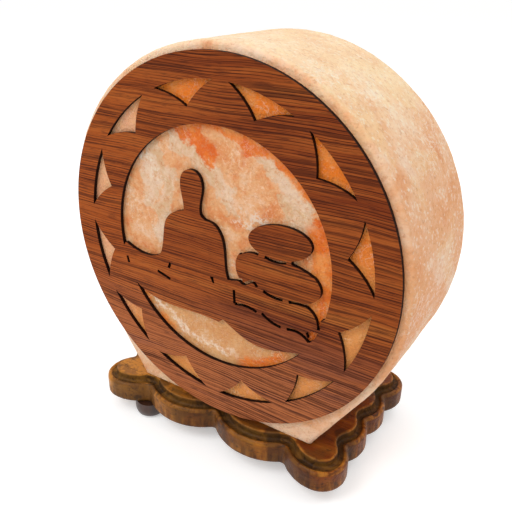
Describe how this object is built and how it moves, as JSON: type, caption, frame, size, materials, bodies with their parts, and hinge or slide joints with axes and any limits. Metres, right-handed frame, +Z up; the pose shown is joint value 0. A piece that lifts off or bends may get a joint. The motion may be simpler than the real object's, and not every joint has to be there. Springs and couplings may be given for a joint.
{
  "type": "salt crystal lamp",
  "caption": "Drum-shaped rock-salt table lamp with a round wooden fretwork panel on its front and a scalloped wooden stand; the bulb and its holder pull out from below.",
  "frame": {"origin": "middle of the lamp's width and depth, on the surface that it stands on", "axes": "+X to the right as seen from the panel, +Y to the back, +Z up"},
  "size_m": [0.1726, 0.0902, 0.1906],
  "materials": {
    "salt": "rough, softly translucent",
    "veneer": "satin, reddish-brown with fine level grain and burnt cut edges",
    "adhesive": "matt",
    "carved_wood": "glossy stain, darker in the carved groove",
    "dark_wood": "satin",
    "steel": "zinc plated",
    "felt": "matt",
    "nylon": "matt",
    "rubber": "matt",
    "holder_plastic": "satin black",
    "brass": "plain",
    "cap_metal": "plain",
    "solder": "dull",
    "black_glass": "gloss",
    "clear_glass": "gloss",
    "wire": "dull"
  },
  "bodies": {
    "lamp": {"salt_block": "salt", "fretwork_panel": "veneer", "adhesive_pads": "adhesive", "base_board": "carved_wood", "foot_front_left": "dark_wood", "foot_front_right": "dark_wood", "foot_back_left": "dark_wood", "foot_back_right": "dark_wood", "foot_screws": "steel", "foot_pads": "felt", "salt_screws": "steel", "wall_plugs": "nylon", "cord_gland": "rubber"},
    "holder": {"holder_cap": "holder_plastic", "holder_sleeve": "holder_plastic", "threaded_shell": "brass", "live_terminal": "brass", "neutral_terminal": "brass", "terminal_screws": "brass", "contact_rivets": "brass", "contact_foot": "brass", "clip_band": "steel"},
    "tongue": {"contact_tongue": "brass"},
    "wing_left": {"clip_wing_left": "steel"},
    "wing_right": {"clip_wing_right": "steel"},
    "bulb_tip": {"bulb_contact": "solder"},
    "bulb": {"bulb_insulator": "black_glass", "bulb_cap": "cap_metal", "bulb_glass": "clear_glass", "bulb_stem": "clear_glass", "bulb_leads": "wire", "bulb_filament": "wire"}
  },
  "joints": [
    {"name": "holder_slide", "type": "slide", "parent": "lamp", "child": "holder", "axis": [0, 0, -1], "range_m": [0, 0.112]},
    {"name": "wing_left_flex", "type": "hinge", "parent": "holder", "child": "wing_left", "pos_m": [-0.01675, -0.0018, 0.0413], "axis": [0, -1, 0], "range_deg": [0, 12], "stiffness_Nm_per_rad": 0.05},
    {"name": "wing_right_flex", "type": "hinge", "parent": "holder", "child": "wing_right", "pos_m": [0.01675, -0.0018, 0.0413], "axis": [0, 1, 0], "range_deg": [0, 12], "stiffness_Nm_per_rad": 0.05},
    {"name": "contact_flex", "type": "hinge", "parent": "holder", "child": "tongue", "pos_m": [0.00142, -0.0018, 0.0508], "axis": [0, -1, 0], "range_deg": [0, 15], "stiffness_Nm_per_rad": 0.01},
    {"name": "bulb_lift", "type": "slide", "parent": "holder", "child": "bulb_tip", "axis": [0, 0, 1], "range_m": [0, 0.00846]},
    {"name": "bulb_turn", "type": "hinge", "parent": "bulb_tip", "child": "bulb", "pos_m": [0, -0.0018, 0.0546], "axis": [0, 0, 1], "range_deg": [0, 1080]}
  ],
  "couplings": [
    {"joint": "bulb_turn", "follows": "bulb_lift", "rad_per_m": 2228.1}
  ]
}
